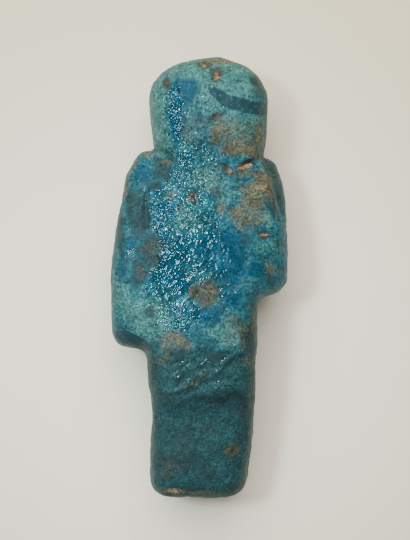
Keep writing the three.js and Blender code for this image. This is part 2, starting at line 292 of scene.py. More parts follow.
# Ovals of (x, y, half-width, half-length, turn) where glaze or clay was dragged, the streaks there
# as (length, width, angle, seed), and how high they stand.
DRAGGED_BACK = (-3.6, 47.0, 7.5, 11.0, -20)
DRAG_ANGLE = 58.0
DRAG_STREAKS = (5.0, 1.1, DRAG_ANGLE, 5)
DRAG_HEIGHT = 0.26
DRAG_RIM = 0.6
RIDGE_TOP = 0.4
RIDGE_SLOPE = 2
DRAGGED_HIPS = (0.0, 25.0, 9.0, 6.5, 0)
HIP_STREAKS = (4.5, 1.3, 36.0, 6)
HIP_HEIGHT = 0.2

waver_x = seen_x + WAVER * drift[:, 0]
waver_y = seen_y + WAVER * drift[:, 1]
relief = np.zeros(len(points))
for size, seed, height in UNEVENNESS:
    relief += height * lumps(size, seed)
relief += SIDE_ROUGHNESS * (1 - facing_up) * lumps(SIDE_LUMPS, 7)
relief -= PIT_DEPTH * pits(PIT_SPACING, 4, PITTED_SHARE)
for path, width, height in BACK_MARKS:
    relief += on_back * height * bell(path_distance(path, waver_x, waver_y), width)
for spot_x, spot_y, radius, height in BACK_SPOTS:
    away = oval(spot_x, spot_y, radius, radius, 0, waver_x, waver_y)
    relief += on_back * height * bell(away, SPOT_FADE)

drag_zone = np.maximum(0, 1 - oval(*DRAGGED_BACK, seen_x, seen_y) ** 2)
drag_share = smooth_step(0.0, DRAG_RIM, drag_zone)
drag_ridges = RIDGE_TOP - np.abs(streaks(*DRAG_STREAKS)) * RIDGE_SLOPE
relief += facing_up * drag_zone * DRAG_HEIGHT * drag_ridges
hip_zone = np.maximum(0, 1 - oval(*DRAGGED_HIPS, seen_x, seen_y) ** 2)
relief += facing_up * hip_zone * HIP_HEIGHT * streaks(*HIP_STREAKS)

# ---- Relief of the front: finer carving on the face, ears and hands ----

HEAD_X = 1.9
FACE_HALF_WIDTH = 6.3
FACE_LENGTH = 13.4
CHIN_Y = 70.5
# The heights between which the carving of the front fades out.
OFF_FRONT = (5.5, 9.0)
on_front = 1 - smooth_step(*OFF_FRONT, z)


def face_y(along):
    """The level of a share of the face's length up from the chin."""
    return CHIN_Y + FACE_LENGTH * along


def face_x(across, side):
    """The place across the face, as a share of its half-width on that side."""
    return HEAD_X + side * FACE_HALF_WIDTH * across


# Places on the face as shares: across from its middle, and up from the chin.
EYE = (0.4, 0.575)
NOSTRIL = (0.09, 0.375)
BROW = [(0.14, 0.66), (0.28, 0.71), (0.46, 0.73), (0.64, 0.71), (0.78, 0.66)]
MOUTH_UP = 0.235
MOUTH_CURVE = 0.06
MOUTH_SHARES = (-0.3, -0.15, 0, 0.15, 0.3)
EYE_HALF_LENGTH = 1.7
EYE_HALF_HEIGHT = 0.62
LEAST_LID = 0.02
CORNER_FALL = 8
LID_AT = 1.15
LID_WIDTH = 0.3
LID_HEIGHT = 0.16
PAST_THE_EYE = 4
BROW_WIDTH = 0.4
BROW_HEIGHT = 0.14
MOUTH_WIDTH = 0.26
MOUTH_DEPTH = 0.22
NOSTRIL_HALF_SIZES = (0.3, 0.22)
NOSTRIL_DEPTH = 0.2
# The ears as (x from the head's middle, y, half-width, half-length, turn).
EAR = (7.5, 77.2, 1.6, 2.5, -10)
EAR_HOLLOW_AT = 0.35
EAR_HOLLOW_WIDTH = 0.25
EAR_DEPTH = 0.35
SIDES = (-1, 1)


def eye_opening(side):
    """Below 1 inside the almond of an eye, 1 on its lids."""
    across = (x - face_x(EYE[0], side)) / EYE_HALF_LENGTH
    lid = EYE_HALF_HEIGHT * np.maximum(1 - across**2, LEAST_LID)
    return np.abs(y - face_y(EYE[1])) / lid + np.maximum(np.abs(across) - 1, 0) * CORNER_FALL


def brow_path(side):
    return [(face_x(across, side), face_y(along)) for across, along in BROW]


mouth = [(face_x(share, 1), face_y(MOUTH_UP + MOUTH_CURVE * share**2)) for share in MOUTH_SHARES]
front_relief = -MOUTH_DEPTH * bell(path_distance(mouth, x, y), MOUTH_WIDTH)
for side in SIDES:
    eye = eye_opening(side)
    front_relief += LID_HEIGHT * bell(eye - LID_AT, LID_WIDTH) * (eye < PAST_THE_EYE)
    front_relief += BROW_HEIGHT * bell(path_distance(brow_path(side), x, y), BROW_WIDTH)
    nostril_x = face_x(NOSTRIL[0], side)
    nostril = oval(nostril_x, face_y(NOSTRIL[1]), *NOSTRIL_HALF_SIZES, 0, x, y)
    front_relief -= NOSTRIL_DEPTH * bell(nostril, 1.0)
    ear_x, ear_y, half_width, half_length, lean = EAR
    ear = oval(HEAD_X + side * ear_x, ear_y, half_width, half_length, lean * side, x, y)
    front_relief -= EAR_DEPTH * bell(ear - EAR_HOLLOW_AT, EAR_HOLLOW_WIDTH)

# Each hand as (x, y, angle of its forearm). Three grooves part the four fingers.
HANDS = [(5.8, 55.0, 40.0), (-4.6, 55.7, 154.0)]
FINGER_GAPS = (-1.25, 0.0, 1.25)
FINGER_GAP_WIDTH = 0.3
FINGER_GAP_DEPTH = 0.3
FIST_HALF_LENGTH = 3.4
FIST_HALF_WIDTH = 3.2
for hand_x, hand_y, angle in HANDS:
    turn = radians(angle)
    along = (x - hand_x) * cos(turn) + (y - hand_y) * sin(turn)
    across = (y - hand_y) * cos(turn) - (x - hand_x) * sin(turn)
    fist = np.maximum(0, 1 - np.hypot(along / FIST_HALF_LENGTH, across / FIST_HALF_WIDTH) ** 4)
    for gap in FINGER_GAPS:
        front_relief -= FINGER_GAP_DEPTH * fist * bell(across - gap, FINGER_GAP_WIDTH)
relief += on_front * front_relief

# The relief dies away where the figure touches the surface it lies on.
TOUCH_FADE = 0.5
relief *= smooth_step(0.0, TOUCH_FADE, z)
points += normals * relief[:, None]
points[:, 2] = np.maximum(points[:, 2], 0)
skin.vertices.foreach_set("co", (points * MM + np.array(SOLE)).astype(np.float32).ravel())
skin.update()
x, y, z = points.T

# ---- How hollow or proud each place is ----

SOFTENING_ROUNDS = 4
SPREADING_ROUNDS = 2
PROUD_BY_ONE = 0.06
MOST_PROUD = 2


def neighbour_means(values):
    """The mean of each vertex's neighbours along the mesh's edges."""
    totals = np.zeros_like(values)
    np.add.at(totals, ends[:, 0], values[ends[:, 1]])
    np.add.at(totals, ends[:, 1], values[ends[:, 0]])
    return totals / np.maximum(neighbour_count, 1).reshape(-1, *[1] * (values.ndim - 1))


ends = np.empty(len(skin.edges) * 2, np.int32)
skin.edges.foreach_get("vertices", ends)
ends = ends.reshape(-1, 2)
neighbour_count = np.bincount(ends.ravel(), minlength=len(points))
normals = read_vectors(skin.vertex_normals, "vector")
softened = points
for _ in range(SOFTENING_ROUNDS):
    softened = neighbour_means(softened)
proud = ((points - softened) * normals).sum(1)
for _ in range(SPREADING_ROUNDS):
    proud = neighbour_means(proud)
proud /= PROUD_BY_ONE

# ---- Stains, painted light and shade, and gloss, as ovals of (x, y, half-width, half-length, turn, strength) ----

STAINS = {
    # Paler glaze, with painted light on the left rims that face the light.
    "pale_glaze_and_lit_rims": [
        (4.0, 85.5, 13.0, 6.0, 0, 0.9),
        (8.5, 77.0, 5.0, 4.0, 0, 0.8),
        # Painted light on the head's left rim, which faces the light.
        (-8.6, 78.0, 2.2, 10.0, 0, 1.0),
        (0.0, 66.5, 4.0, 4.0, 0, 0.6),
        (4.6, 62.0, 2.6, 3.0, 0, 0.5),
        (-10.6, 36.4, 5.0, 4.6, 0, 1.0),
        # Painted light on the outer side of the left arm, which faces the light.
        (-16.0, 41.0, 2.4, 7.0, 0, 0.7),
        (-3.0, 57.5, 3.0, 3.4, 0, 0.5),
        (5.8, 33.4, 4.6, 3.0, 0, 0.7),
        (14.0, 57.6, 1.3, 1.8, 0, 0.7),
        (13.6, 51.5, 3.0, 2.4, 0, 0.5),
        # Painted light along the left edge of the legs.
        (-9.4, 9.0, 0.9, 5.0, 0, 0.9),
    ],
    "deep": [
        (-3.4, 83.4, 3.0, 2.8, 20, 1.0),
        (-5.0, 78.0, 1.6, 7.0, 0, 0.8),
        (-2.2, 68.4, 2.0, 3.0, 0, 0.5),
        (4.6, 49.4, 5.0, 5.6, 20, 1.0),
        (7.8, 46.5, 2.4, 3.0, 0, 0.8),
        (11.6, 46.6, 1.8, 1.6, 0, 0.9),
        (0.6, 37.6, 3.8, 2.2, 10, 0.9),
        (6.4, 40.6, 2.4, 2.2, 0, 0.8),
        (-3.6, 38.4, 2.2, 1.8, 0, 0.6),
        (-11.6, 66.4, 2.2, 1.8, 20, 0.9),
        (-9.3, 63.0, 1.6, 1.8, 0, 0.9),
        (-7.2, 59.2, 1.9, 1.7, 0, 0.9),
        (-8.0, 54.3, 2.4, 3.8, -15, 0.9),
        (-6.6, 46.8, 3.0, 4.0, -30, 0.9),
        (-3.4, 50.8, 2.6, 3.0, -30, 0.8),
        (-3.0, 43.4, 3.6, 2.2, -30, 0.7),
        (-14.4, 51.6, 1.3, 1.6, 0, 0.8),
        (-16.2, 46.0, 1.2, 2.6, 0, 0.6),
        (-6.3, 24.8, 2.2, 2.0, 0, 1.3),
        (-8.2, 16.2, 1.5, 2.4, 0, 0.8),
        (-4.6, 17.6, 1.6, 1.2, 0, 0.6),
        (6.0, 18.4, 1.8, 1.0, 0, 0.7),
        (17.2, 52.6, 0.9, 2.4, 0, 0.9),
        (9.4, 12.4, 1.3, 2.4, 0, 0.5),
    ],
    # Darker glaze and painted shade: the legs and hips are darker, partly in their own glaze and partly
    # as painted shade where less light falls on them; the narrow bands down the right sides of the head,
    # arm and body are painted shade on sides that face away from the light.
    "darker_glaze_and_shade": [
        (0.5, 4.0, 30.0, 20.0, 0, 1.1),
        (0.5, 24.0, 30.0, 7.0, 0, 0.9),
        (11.0, 34.0, 2.0, 8.0, 0, 0.8),
        (16.4, 63.0, 1.1, 5.0, 9, 0.75),
        (15.2, 67.4, 1.3, 2.4, 30, 1.0),
        (14.2, 69.0, 1.2, 1.0, 0, 1.0),
        (-16.4, 55.0, 1.1, 7.0, 5, 0.8),
        (12.4, 84.0, 1.4, 4.0, 25, 0.6),
    ],
    # Painted shade: under the lip of the ledge across the hips, in the fold between trunk and left arm,
    # and down the right side of the legs, which faces away from the light. The last two darken the lower
    # left of the legs and a spot below the left shoulder.
    "painted_shade_and_dark_patches": [
        (3.0, 19.9, 7.6, 0.8, 0, 1.0),
        (6.6, 20.2, 1.5, 1.2, 0, 1.1),
        (-12.4, 63.0, 1.0, 0.8, 0, 0.7),
        (-11.2, 60.0, 0.5, 3.4, 3, 0.9),
        (11.2, 24.0, 0.9, 9.0, 0, 0.8),
        (-4.0, 6.6, 3.6, 3.4, 0, 0.45),
        (-9.2, 63.8, 1.1, 1.1, 0, 0.6),
    ],
    "olive": [
        (-8.0, 67.6, 2.3, 2.4, 0, 1.1),
        (-9.3, 64.0, 1.4, 1.4, 0, 0.8),
        (-13.0, 58.2, 2.0, 5.2, 4, 1.2),
        (-10.4, 51.0, 2.6, 3.6, 10, 1.2),
        (-12.4, 46.4, 2.0, 3.0, 0, 1.1),
        (-10.7, 37.4, 1.1, 1.1, 0, 0.9),
        (-6.6, 28.6, 3.4, 1.6, 0, 0.7),
        (-9.3, 26.4, 1.4, 2.4, 0, 0.9),
        (4.4, 72.6, 2.4, 2.0, 0, 0.5),
        (11.6, 73.0, 1.8, 3.4, 0, 0.5),
        (8.6, 17.8, 1.6, 1.8, 0, 0.9),
        (1.6, 13.7, 2.6, 1.3, 0, 0.7),
        (-4.8, 7.4, 4.2, 4.4, 0, 0.8),
        (14.4, 44.8, 3.0, 2.6, 0, 0.45),
        (9.4, 33.6, 2.2, 4.0, 0, 0.8),
        (14.9, 60.6, 1.0, 3.4, 8, 0.8),
        (3.0, 62.6, 1.4, 1.3, 0, 0.7),
        (9.4, 52.4, 2.4, 1.8, 0, 0.6),
        (11.4, 85.4, 1.0, 1.1, 0, 0.8),
        (0.6, 77.6, 2.0, 1.4, 0, 0.5),
        (-7.6, 20.0, 1.6, 1.4, 0, 0.7),
        (-3.0, 12.4, 2.0, 3.4, 0, 0.5),
        (4.0, 11.0, 1.2, 3.0, 0, 0.45),
        (0.6, 5.0, 2.6, 3.0, 0, 0.5),
        (3.0, 29.0, 3.6, 1.6, 0, 0.5),
    ],
    "tan": [
        (12.8, 64.6, 2.6, 2.6, 0, 1.2),
        (11.0, 61.4, 3.4, 3.6, 0, 1.0),
        (8.4, 57.6, 2.4, 3.4, 0, 0.9),
        (11.0, 57.0, 3.0, 2.6, 0, 0.8),
        (4.6, 59.4, 1.4, 1.6, 0, 0.7),
        (4.6, 74.8, 2.6, 2.8, 0, 0.85),
        (9.0, 71.8, 4.4, 2.0, 0, 0.95),
        (12.4, 74.0, 1.2, 3.4, 0, 0.9),
        (8.0, 75.0, 5.0, 4.0, 0, 0.5),
        (-1.0, 75.4, 4.0, 4.6, 0, 0.38),
        (7.4, 33.6, 4.0, 3.4, 0, 0.4),
        (2.0, 64.6, 4.0, 3.4, 0, 0.32),
        (8.8, 66.6, 2.6, 0.9, 15, 0.8),
        (-5.0, 31.6, 3.2, 2.0, 0, 0.9),
        (-7.4, 28.4, 1.8, 1.4, 0, 0.5),
        (14.8, 46.8, 2.0, 1.4, 0, 0.8),
        (-11.4, 70.4, 2.2, 0.6, -16, 0.8),
        (-13.7, 68.2, 0.6, 1.8, -32, 0.8),
        (-15.0, 64.6, 0.6, 3.0, -14, 0.6),
        (4.0, 89.4, 5.0, 0.8, -6, 1.0),
        (-5.0, 0.8, 3.4, 0.7, 0, 1.0),
        (1.0, 0.5, 4.0, 0.5, 0, 0.7),
        (-6.8, 68.6, 1.0, 0.6, 10, 0.9),
        (-6.0, 61.9, 2.2, 0.6, 26, 0.8),
        (9.6, 27.6, 1.4, 1.4, 0, 0.5),
    ],
    "brown": [
        (1.2, 42.2, 2.9, 2.8, 0, 1.3),
        (1.2, 88.9, 1.7, 1.0, 0, 1.2),
        (3.7, 86.7, 1.3, 1.6, 0, 1.1),
        (-6.9, 84.9, 1.3, 1.1, 0, 1.0),
        (3.4, 78.4, 1.7, 1.3, 0, 0.9),
        (-1.4, 22.9, 2.9, 0.9, 32, 0.7),
        (1.2, 24.8, 1.4, 0.7, 45, 0.6),
        (6.8, 9.5, 1.9, 1.2, 0, 1.2),
        (-6.6, 5.0, 2.6, 2.0, 0, 0.6),
        (13.2, 53.8, 1.6, 0.8, 0, 1.0),
        (-1.0, 61.6, 1.1, 1.1, 0, 1.0),
        (-4.0, 59.6, 0.7, 0.7, 0, 0.8),
        (4.9, 67.7, 1.3, 0.9, 0, 1.0),
        (9.4, 68.4, 2.6, 1.0, 18, 0.9),
        (6.6, 66.4, 1.8, 0.5, 0, 0.8),
        (6.0, 71.4, 2.4, 1.0, 0, 0.6),
        (3.4, 74.0, 0.7, 1.8, 0, 0.7),
        (10.9, 36.0, 0.7, 2.4, 0, 0.8),
        (-11.0, 51.4, 1.8, 2.6, 0, 0.6),
        (-12.8, 46.6, 1.4, 2.0, 0, 0.6),
        (14.6, 65.2, 1.2, 0.7, 30, 0.7),
    ],
    "cream": [
        (3.7, 86.6, 0.7, 0.9, 0, 0.6),
        (1.0, 88.8, 0.5, 0.4, 0, 0.6),
        (5.9, 66.9, 0.8, 0.6, -20, 1.0),
        (9.3, 67.8, 1.7, 0.4, 18, 1.2),
        (-0.7, 41.5, 0.4, 0.4, 0, 0.8),
        (2.3, 42.2, 0.6, 0.4, 0, 0.9),
        (-5.2, 0.9, 1.6, 0.5, 0, 0.9),
        (13.4, 53.8, 1.0, 0.3, 0, 0.9),
        (13.0, 63.8, 1.4, 0.6, 10, 0.5),
    ],
    "crack": [
        (9.8, 68.9, 1.1, 0.32, 24, 1.6),
        (6.9, 9.3, 0.5, 0.45, 0, 0.9),
    ],
}
GLOSS = [
    (-3.6, 56.0, 9.0, 15.0, 0, 1.2),
    (-5.6, 46.5, 6.0, 8.0, 0, 1.5),
    (-2.4, 69.0, 5.5, 6.0, 0, 1.6),
    (-5.6, 79.0, 2.0, 9.0, 0, 1.3),
    (5.0, 46.0, 7.0, 10.0, 0, 0.65),
    (-5.0, 37.0, 8.0, 5.0, 0, 0.8),
    (0.0, 58.0, 30.0, 38.0, 0, 0.35),
    (0.0, 26.0, 14.0, 9.0, 0, 0.4),
    (5.2, 22.2, 2.4, 0.9, 0, 1.2),
]


# How far the edge of an oval strays: this share of its smaller half, and at most so far.
STRAY_SHARE = 0.4
MOST_STRAY = 1.0
# From nothing to full strength, in shares of the way from an oval's middle to its rim.
OVAL_EDGE = (1.5, 0.3)


def ovals(rows):
    """The strongest of the ovals at each vertex, from its strength in the middle to 0 past its rim."""
    strongest = np.zeros(len(points))
    for centre_x, centre_y, half_width, half_length, turn, strength in rows:
        stray = min(STRAY_SHARE * min(half_width, half_length), MOST_STRAY)
        at_x = seen_x + stray * drift[:, 0]
        at_y = seen_y + stray * drift[:, 1]
        share = oval(centre_x, centre_y, half_width, half_length, turn, at_x, at_y)
        strongest = np.maximum(strongest, strength * smooth_step(*OVAL_EDGE, share))
    return strongest


def store(name, values):
    """Keeps one value for each vertex, for the material to read under that name."""
    skin.attributes.new(name, "FLOAT", "POINT").data.foreach_set("value", values.astype(np.float32))


# Where each kind of stain begins in the noise that strews it over the front: high values are rare.
FRONT_STAINS = {
    "pale_glaze_and_lit_rims": 0.0,
    "deep": 0.1,
    "darker_glaze_and_shade": 0.3,
    "painted_shade_and_dark_patches": 0.5,
    "olive": 0.3,
    "tan": 0.35,
    "brown": 0.45,
    "cream": 0.6,
    "crack": 9.0,
}
FRONT_EDGE = 0.3
FRONT_LUMPS = 5.0
FRONT_STRENGTH = 0.42
FRONT_GLOSS = 0.4
FIRST_STAIN_SEED = 20
# The heights between which the stains of the front give way to those of the back.
FROM_BEHIND = (4.0, 8.0)

from_behind = smooth_step(*FROM_BEHIND, z)
for seed, (kind, rows) in enumerate(STAINS.items(), FIRST_STAIN_SEED):
    start = FRONT_STAINS[kind]
    strewn = smooth_step(start, start + FRONT_EDGE, lumps(FRONT_LUMPS, seed, 2))
    store(kind, from_behind * ovals(rows) + (1 - from_behind) * FRONT_STRENGTH * strewn)
store("gloss", facing_up * ovals(GLOSS) + (1 - from_behind) * FRONT_GLOSS)
store("drag", drag_share)
store("proud", np.clip(proud, -MOST_PROUD, MOST_PROUD))

# ---- Paint: brush strokes of (x, y, half-width) ----

BACK_STROKES = [
    # The band round the wig starts at the back of the head and slopes to its right side.
    [
        (2.5, 83.5, 0.7),
        (3.6, 82.8, 1.0),
        (5.5, 81.4, 1.2),
        (8.0, 80.7, 1.3),
        (10.5, 80.0, 1.25),
        (16.0, 79.2, 1.1),
    ],
    # A dab on the left elbow.
    [(-16.6, 33.2, 0.8), (-14.9, 32.6, 1.3), (-12.8, 31.4, 1.2), (-10.6, 30.6, 0.8)],
]
# The hoes that the hands hold, each with its handle and its bent blade.
HOES = [
    [(7.4, 51.5, 0.34), (4.4, 60.5, 0.34), (3.6, 64.4, 0.4), (2.2, 66.2, 0.4), (-0.4, 65.2, 0.55)],
    [(-6.2, 52.2, 0.34), (-4.0, 60.5, 0.34), (-3.6, 63.2, 0.4), (-2.4, 65.0, 0.4), (-0.2, 63.6, 0.55)],
]

# On the front the band rises from both sides to the middle of the brow.
BAND_SIDE_Y = 80.0
BAND_RISE = 4.6
BAND_REACH = 12
BAND_HALF_WIDTH = 1.15
BROW_HALF_WIDTH = 0.32
EYE_LINE_AT = 1.05
EYE_LINE_SOFTNESS = 0.5
EYE_LINE_HALF_WIDTH = 0.22
PUPIL_RADIUS = 0.46
# Added to a distance from paint where it must not show, between these heights.
FAR = 9.0
BACK_PAINT_ENDS = (9.0, 6.0)
BAND_ENDS_LEFT = (8.0, 11.0)
BAND_ENDS = (13.0, 16.0)
FRONT_PAINT_ENDS = (5.0, 8.0)

back_paint = np.min([stroke_distance(rows, seen_x, seen_y) for rows in BACK_STROKES], axis=0)
back_paint += FAR * smooth_step(*BACK_PAINT_ENDS, z)
across_head = np.clip(np.abs(x - HEAD_X) / BAND_REACH, 0, 1)
band_y = BAND_SIDE_Y + BAND_RISE * (1 - across_head**2)
front_band = np.abs(y - band_y) - BAND_HALF_WIDTH
front_band += FAR * smooth_step(*BAND_ENDS_LEFT, z) * (x < HEAD_X)
front_band += FAR * smooth_step(*BAND_ENDS, z)
front_paint = np.min([stroke_distance(rows, x, y) for rows in HOES], axis=0)
for side in SIDES:
    brow = path_distance(brow_path(side), x, y) - BROW_HALF_WIDTH
    eye_line = np.abs(eye_opening(side) - EYE_LINE_AT) * EYE_LINE_SOFTNESS - EYE_LINE_HALF_WIDTH
    pupil = oval(face_x(EYE[0], side), face_y(EYE[1]), 1, 1, 0, x, y) - PUPIL_RADIUS
    for painted in (brow, eye_line, pupil):
        front_paint = np.minimum(front_paint, painted)
front_paint += FAR * smooth_step(*FRONT_PAINT_ENDS, z)
store("paint", np.minimum(np.minimum(back_paint, front_band), front_paint))

# ---- Materials ----


class Finish:
    """A node material. An input given as a socket is linked, and any other is set."""

    def __init__(self, name):
        self.material = bpy.data.materials.new(name)
        self.material.use_nodes = True
        self.tree = self.material.node_tree
        self.shader = self.tree.nodes["Principled BSDF"]
        coordinates = self.tree.nodes.new("ShaderNodeTexCoord").outputs["Object"]
        self.layout = self.scale(coordinates, 1 / MM)

    def feed(self, socket, value):
        if isinstance(value, bpy.types.NodeSocket):
            self.tree.links.new(value, socket)
        else:
            socket.default_value = value

    def add(self, kind, inputs, **settings):
        node = self.tree.nodes.new(kind)
        for name, value in settings.items():
            setattr(node, name, value)
        for name, value in inputs.items():
            self.feed(node.inputs[name], value)
        return node

    def noise(self, size, detail, roughness=0.5, at=None):
        """Noise from 0 to 1, with lumps of that size in millimetres."""
        inputs = {
            "Vector": at or self.layout,
            "Scale": 1 / size,
            "Detail": detail,
            "Roughness": roughness,
        }
        return self.add("ShaderNodeTexNoise", inputs).outputs["Fac"]

    def math(self, operation, first, second):
        return self.add("ShaderNodeMath", {0: first, 1: second}, operation=operation).outputs["Value"]

    def plus(self, first, second):
        return self.math("ADD", first, second)

    def minus(self, first, second):
        return self.math("SUBTRACT", first, second)

    def times(self, first, second):
        return self.math("MULTIPLY", first, second)

    def scale(self, vector, factor):
        inputs = {0: vector, "Scale": factor}
        return self.add("ShaderNodeVectorMath", inputs, operation="SCALE").outputs["Vector"]

    def step(self, value, start, end, top=1.0):
        """0 below the start, rising smoothly to the top at the end."""
        inputs = {"Value": value, "From Min": start, "From Max": end, "To Max": top}
        node = self.add("ShaderNodeMapRange", inputs, interpolation_type="SMOOTHSTEP")
        return node.outputs["Result"]

    def ramp(self, value, start, end, bottom, top):
        """From the bottom at the start in a straight line to the top at the end, and level past both."""
        inputs = {
            "Value": value,
            "From Min": start,
            "From Max": end,
            "To Min": bottom,
            "To Max": top,
        }
        return self.add("ShaderNodeMapRange", inputs).outputs["Result"]

    def mix(self, share, first, second, blend="MIX"):
        node = self.tree.nodes.new("ShaderNodeMix")
        node.data_type = "RGBA"
        node.blend_type = blend
        sockets = {socket.identifier: socket for socket in node.inputs}
        self.feed(sockets["Factor_Float"], share)
        self.feed(sockets["A_Color"], first)
        self.feed(sockets["B_Color"], second)
        return next(socket for socket in node.outputs if socket.identifier == "Result_Color")

    def attribute(self, name):
        return self.add("ShaderNodeAttribute", {}, attribute_name=name).outputs["Fac"]

    def bump(self, height, depth, strength):
        """Raises the normals by a height from 0 to 1 over a depth in millimetres."""
        inputs = {"Height": height, "Distance": depth * MM, "Strength": strength}
        return self.add("ShaderNodeBump", inputs).outputs["Normal"]


def colour(red, green, blue):
    return (red, green, blue, 1.0)


TURQUOISE = colour(0.007, 0.078, 0.104)
TEAL = colour(0.003, 0.044, 0.060)
BRIGHT = colour(0.018, 0.145, 0.175)
RUST = colour(0.040, 0.040, 0.022)
INK = colour(0.001, 0.036, 0.070)
# The stains' colours. Those of the pale rims, the darker legs and sides, and the painted shade stand
# partly or wholly for light and shade.
GLAZES = {
    "pale_glaze_and_lit_rims": colour(0.034, 0.122, 0.112),
    "deep": colour(0.001, 0.042, 0.078),
    "darker_glaze_and_shade": colour(0.008, 0.032, 0.032),
    "painted_shade_and_dark_patches": colour(0.002, 0.015, 0.018),
    "olive": colour(0.009, 0.023, 0.023),
    "tan": colour(0.082, 0.070, 0.034),
    "brown": colour(0.036, 0.031, 0.016),
    "cream": colour(0.260, 0.140, 0.060),
    "crack": colour(0.020, 0.008, 0.004),
}
# How ragged the edges of the softer stains are, where the others have 1.
RAGGED = {"tan": 0.6, "pale_glaze_and_lit_rims": 0.7, "darker_glaze_and_shade": 0.7}
# From where to where each stain shows, and how much of it.
STAIN_EDGES = {
    "pale_glaze_and_lit_rims": (0.10, 0.85, 0.95),
    "deep": (0.15, 0.75, 0.95),
    "darker_glaze_and_shade": (0.10, 0.80, 0.9),
    "painted_shade_and_dark_patches": (0.15, 0.85, 0.9),
    "olive": (0.15, 0.80, 0.85),
    "tan": (0.05, 1.10, 0.9),
    "brown": (0.20, 0.90, 0.85),
    "cream": (0.25, 0.90, 0.9),
    "crack": (0.20, 0.70, 0.95),
}
PAINT = colour(0.005, 0.022, 0.029)
GOLD = colour(0.095, 0.062, 0.020)
# Painted shade for hollows and creases.
HOLLOW_SHADE = colour(0.012, 0.022, 0.020)

# Noises as (size of the lumps in millimetres, detail, roughness).
BROAD = (8.0, 2.0, 0.5)
MOTTLE = (2.8, 4.0, 0.6)
CLOUD = (2.4, 4.0, 0.6)
PATCH = (1.7, 3.0, 0.65)
FLECK = (0.75, 3.0, 0.6)
GOLD_FLECK = (0.7, 3.0, 0.6)
RAGGED_EDGE = (3.0, 6.0, 0.72)
# Colours strewn over the glaze, as (noise, where they start, where they are full, share, colour).
STREWN = [
    (FLECK, 0.50, 0.72, 0.50, BRIGHT),
    (BROAD, 0.50, 0.70, 0.35, GLAZES["pale_glaze_and_lit_rims"]),
    ((1.6, 4.0, 0.65), 0.56, 0.74, 0.60, RUST),
    ((1.9, 3.0, 0.6), 0.42, 0.30, 0.60, INK),
]
# Where each share starts and is full, with how much of it there is at most.
CLOUD_EDGE = (0.36, 0.62)
GOLD_EDGE = (0.5, 0.74)
STAIN_FADE = (0.0, 0.3)
HOLLOWS = (-0.2, -1.6, 0.7)
BRUSH_EDGE = (0.25, -0.05)
WEAR = (0.9, 0.5, 0.95)
GLOSS_EDGE = (0.4, 0.75)
# How noise brightens and darkens the glaze, as (noise from, to, brightness from, to). The grain's noise
# follows the dimples of the bump, so it also paints shade in their hollows and light on their crests.
GRAIN_TONE_AND_DIMPLE_SHADE = (0.3, 0.72, 0.25, 1.7)
FLECK_LIGHT = (0.3, 0.7, 0.6, 1.3)
MOTTLE_LIGHT = (0.3, 0.7, 0.7, 1.3)
# The size of the glaze's grain and of its drag waves, and the depth of its dimples, in millimetres.
GRAIN = 0.42
WAVE = 0.6
WAVE_STRETCH = 2.6
DIMPLE_DEPTH = 0.15
# How much of the grain's dimples there is, and how much of that goes where the glaze was dragged.
DIMPLES = 1.2
DIMPLES_DRAGGED_OUT = 0.7
NOISE_MIDDLE = 0.5
RAGGEDNESS = 1.3
SPECKLE = 0.9
PAINT_SPECKLE = 0.5
MATT = 0.62
GLOSSY = 0.05
MATT_BUMP = 0.25
GLOSSY_BUMP = 1.0
GLOSS_PATCHINESS = 2.4
DULL_STAINS = ("olive", "tan", "brown")
DULLING = 0.6
GLAZE_IOR = 1.55
GLINT = colour(0.6, 0.92, 1.0)


def stained_glaze(finish, edge):
    """The glaze's colour with all its stains and its painted light and shade, and each one's share of it.
    """
    surface = finish.mix(finish.step(finish.noise(*CLOUD), *CLOUD_EDGE), TEAL, TURQUOISE)
    for noise_kind, start, full, most, strewn_colour in STREWN:
        strewn_share = finish.step(finish.noise(*noise_kind), start, full, most)
        surface = finish.mix(strewn_share, surface, strewn_colour)
    shares = {}
    for kind, glaze in GLAZES.items():
        start, end, most = STAIN_EDGES[kind]
        stain = finish.attribute(kind)
        near = finish.times(edge, finish.step(stain, *STAIN_FADE, RAGGED.get(kind, 1.0)))
        shares[kind] = finish.step(finish.plus(stain, near), start, end, most)
        if kind == "brown":
            gold_share = finish.step(finish.noise(*GOLD_FLECK), *GOLD_EDGE)
            glaze = finish.mix(gold_share, glaze, GOLD)
        surface = finish.mix(shares[kind], surface, glaze)
    return surface, shares


def dimples(finish):
    """Heights of the glaze's dimples, drawn out into waves where it was dragged."""
    inputs = {
        "Vector": finish.layout,
        "Rotation": (0.0, 0.0, radians(DRAG_ANGLE)),
        "Scale": (WAVE_STRETCH, 1.0, 1.0),
    }
    dragged = finish.add("ShaderNodeMapping", inputs, vector_type="TEXTURE").outputs["Vector"]
    drag = finish.attribute("drag")
    waves = finish.times(finish.noise(WAVE, 0.0, at=dragged), finish.plus(drag, 1.0))
    calm = finish.minus(DIMPLES, finish.times(drag, DIMPLES_DRAGGED_OUT))
    return finish.plus(waves, finish.times(finish.noise(GRAIN, 0.0), calm))


